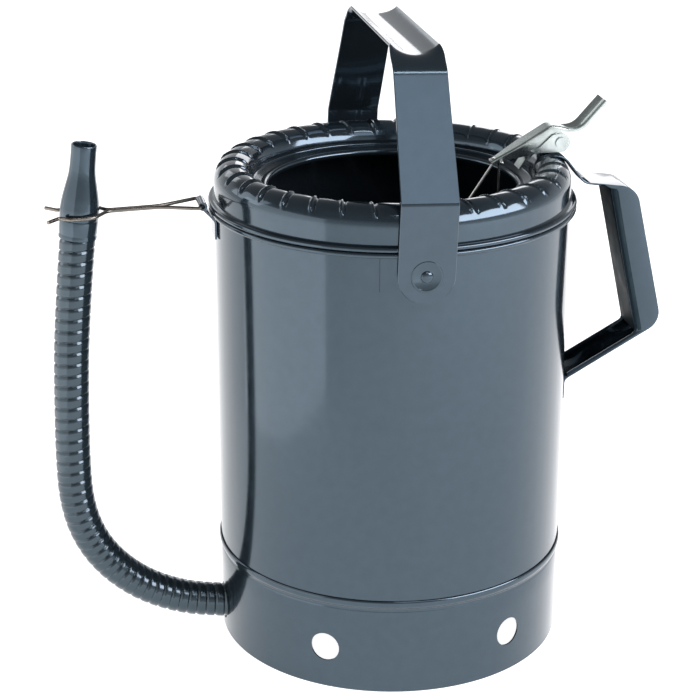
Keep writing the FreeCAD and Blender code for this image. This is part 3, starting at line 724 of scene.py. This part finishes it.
def make_lever():
    """A pressed channel with its edges turned down, from a narrow nose over the pin to a dished thumb pad."""
    spine = rounded_path([(60.4, 300.2), (97.6, 322.4), (113.0, 318.5), (129.6, 337.0)], [9.0, 11.0], 12)
    spine = resample(spine, 1.0)
    total = sum((b - a).length for a, b in zip(spine, spine[1:]))
    run = 0.0
    verts = []
    across = 12
    fold = 1.3
    sheet = 1.0
    for i, p in enumerate(spine):
        if i:
            run += (p - spine[i - 1]).length
        t = run / total
        out = outward_at(spine, i)
        half = 3.4 + 3.1 * smooth(t / 0.30) + 1.6 * smooth((t - 0.60) / 0.20)
        deep = 2.6 + 6.6 * smooth(t / 0.34) * (1 - smooth((t - 0.44) / 0.16))
        dish = 2.2 * smooth((t - 0.55) / 0.2)
        line = []
        for k in range(across + 1):
            y = (half - fold) * (2 * k / across - 1)
            line.append((y, -dish * (1 - (y / (half - fold)) ** 2)))
        right = []
        for w in (math.radians(a) for a in (18, 36, 54, 72, 90)):
            right.append((half - fold + fold * math.sin(w), -fold + fold * math.cos(w)))
        right += [(half, -fold - (deep - fold) * k / 4) for k in range(1, 5)]
        top = [(-y, d) for y, d in reversed(right)] + line + right
        under = []
        for j in range(len(top) - 1, -1, -1):
            before, after = top[max(j - 1, 0)], top[min(j + 1, len(top) - 1)]
            along = Vector((after[0] - before[0], after[1] - before[1])).normalized()
            under.append((top[j][0] + along.y * sheet, top[j][1] - along.x * sheet))
        for y, d in top + under:
            verts.append((p.x + out.x * d, y, p.y + out.y * d))
    faces = capped_loft(len(spine), len(verts) // len(spine))
    piece = finish_mesh("lever_pressing", verts, faces, "lever", "zinc_plate", sharp=50)
    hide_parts("thumb_lever")
    loop = [(x, -0.6, z) for x, z in arc((62.8, 300.2), 1.9, -60, 240, 30)]
    spring_wire("wire_loop", loop, 0.7, "lever")


# ---------------------------------------------------------------- spring

def make_spring():
    """A straight wire up from the bottom, a short coil, and a hook over the lever's nose."""
    points = [(SPRING_X, -2.4, 64)] + [(SPRING_X, 0, z) for z in (64, 67, 150, 218)]
    turn_steps = 14
    steps = 26 * turn_steps
    for i in range(steps + 1):
        a = 2 * math.pi * i / turn_steps
        r = 3.4 * smooth(i / 10) * smooth((steps - i) / 10)
        points.append((SPRING_X + r * math.cos(a), r * math.sin(a), 222 + 42 * i / steps))
    points += [(SPRING_X, 0, 268)] + [(SPRING_X, 0, 270 + 3 * i) for i in range(10)]
    points += [(SPRING_X, -0.4, 300.0), (SPRING_X, -1.6, 300.5), (SPRING_X, -8.0, 300.5)]
    piece = spring_wire("spring_coil", points, 0.8, None)
    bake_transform(piece)
    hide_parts("return_spring")


# ---------------------------------------------------------------- stage

def make_floor():
    s = Shader(
        "pale_floor", Roughness=0.6, Specular_IOR_Level=0.0,
        Emission_Color=(1, 1, 1, 1), Emission_Strength=1.0,
    )
    s.colour(s.ramp(s.noise(3, 2), [(0.3, (0.68, 0.68, 0.68)), (0.7, (0.72, 0.72, 0.72))]))
    mesh = bpy.data.meshes.new("floor")
    side = 12
    corners = [(-side, -side, 0), (side, -side, 0), (side, side, 0), (-side, side, 0)]
    mesh.from_pydata(corners, [], [(0, 1, 2, 3)])
    mesh.materials.append(s.material)
    add_object("floor", mesh)


def make_world():
    """A white room: bright walls, a dim ceiling."""
    world = bpy.data.worlds.new("studio")
    world.use_nodes = True
    tree = world.node_tree
    where = tree.nodes.new("ShaderNodeTexCoord")
    split = tree.nodes.new("ShaderNodeSeparateXYZ")
    ramp = tree.nodes.new("ShaderNodeValToRGB")
    stops = [(0.0, 0.85), (0.12, 0.65), (0.30, 0.50), (0.50, 0.22), (1.0, 0.16)]
    set_stops(ramp, [(position, (value, value, value * 1.02)) for position, value in stops])
    back = tree.nodes["Background"]
    tree.links.new(where.outputs["Generated"], split.inputs[0])
    tree.links.new(split.outputs["Z"], ramp.inputs["Fac"])
    tree.links.new(ramp.outputs["Color"], back.inputs["Color"])
    back.inputs["Strength"].default_value = 1.15
    bpy.context.scene.world = world


def area_light(name, place, target, size, brightness, colour):
    """A rectangular light whose brightness doesn't depend on its size."""
    light = bpy.data.lights.new(name, "AREA")
    light.shape = "RECTANGLE"
    light.size, light.size_y = size
    light.energy = brightness * math.pi * size[0] * size[1]
    light.color = colour
    lamp = add_object(name, light)
    lamp.location = place
    lamp.rotation_euler = (Vector(target) - Vector(place)).to_track_quat("-Z", "Y").to_euler()


def make_lights():
    rim = (0, -0.05, 0.3)
    area_light("right_softbox", (1.51, -1.15, 1.14), rim, (1.9, 0.95), 9.0, (1.0, 0.93, 0.96))
    area_light("front_softbox", (0.36, -1.59, 1.68), rim, (1.0, 0.7), 2.0, (0.88, 0.91, 1.0))
    area_light("top_strip", (0.33, -1.13, 2.04), rim, (1.0, 0.14), 9.0, (1.0, 1.0, 1.0))
    area_light("back_softbox", (0.80, 2.10, 0.78), (0.13, 0, 0.28), (0.9, 0.62), 2.1, (1.0, 0.97, 0.98))
    area_light("back_card", (-0.52, 2.0, 1.05), (0.13, 0, 0.28), (0.6, 0.4), 1.3, (1.0, 1.0, 1.0))
    area_light("left_back_softbox", (-1.7, 0.9, 1.0), rim, (1.1, 0.8), 1.5, (1.0, 0.99, 1.0))
    area_light("left_card", (-0.45, -0.10, 0.225), (0, -0.10, 0.225), (0.55, 0.45), 0.98, (1.0, 0.92, 0.89))


def make_camera():
    camera = bpy.data.cameras.new("camera")
    camera.lens = 102.53
    camera.sensor_width = 36
    camera.clip_end = 50
    holder = add_object("camera", camera)
    holder.location = (-0.2436, -1.1412, 0.6184)
    ahead = Vector((0.1755, 0.9198, -0.3510))
    roll = Matrix.Rotation(math.radians(0.10), 3, "Z")
    holder.rotation_euler = (ahead.to_track_quat("-Z", "Y").to_matrix() @ roll).to_euler()
    bpy.context.scene.camera = holder


def dress_cad_nodes():
    """Gives the CAD nodes their slots' materials, but for two that look different from their slots."""
    shown = {"pull_wire": SPRING_WIRE, "clip_bracket": ENAMEL}
    slots = {row["node"]: row["material_slot"] for row in frame["record"]["subparts"]}
    for name, piece in frame["nodes"].items():
        material = shown.get(name, BY_SLOT[slots[name]])
        if piece.material_slots:
            for slot in piece.material_slots:
                slot.material = material
        else:
            piece.data.materials.append(material)


make_camera()
hose, hose_line, hose_length = make_hose()
nozzle, cuff = make_nozzle()
dress_cad_nodes()
make_body_shell()
make_rim()
make_base()
make_bail()
make_rivets()
make_handle()
make_lever()
make_spring()
make_floor()
make_world()
make_lights()
bpy.context.scene.view_settings.view_transform = "Standard"
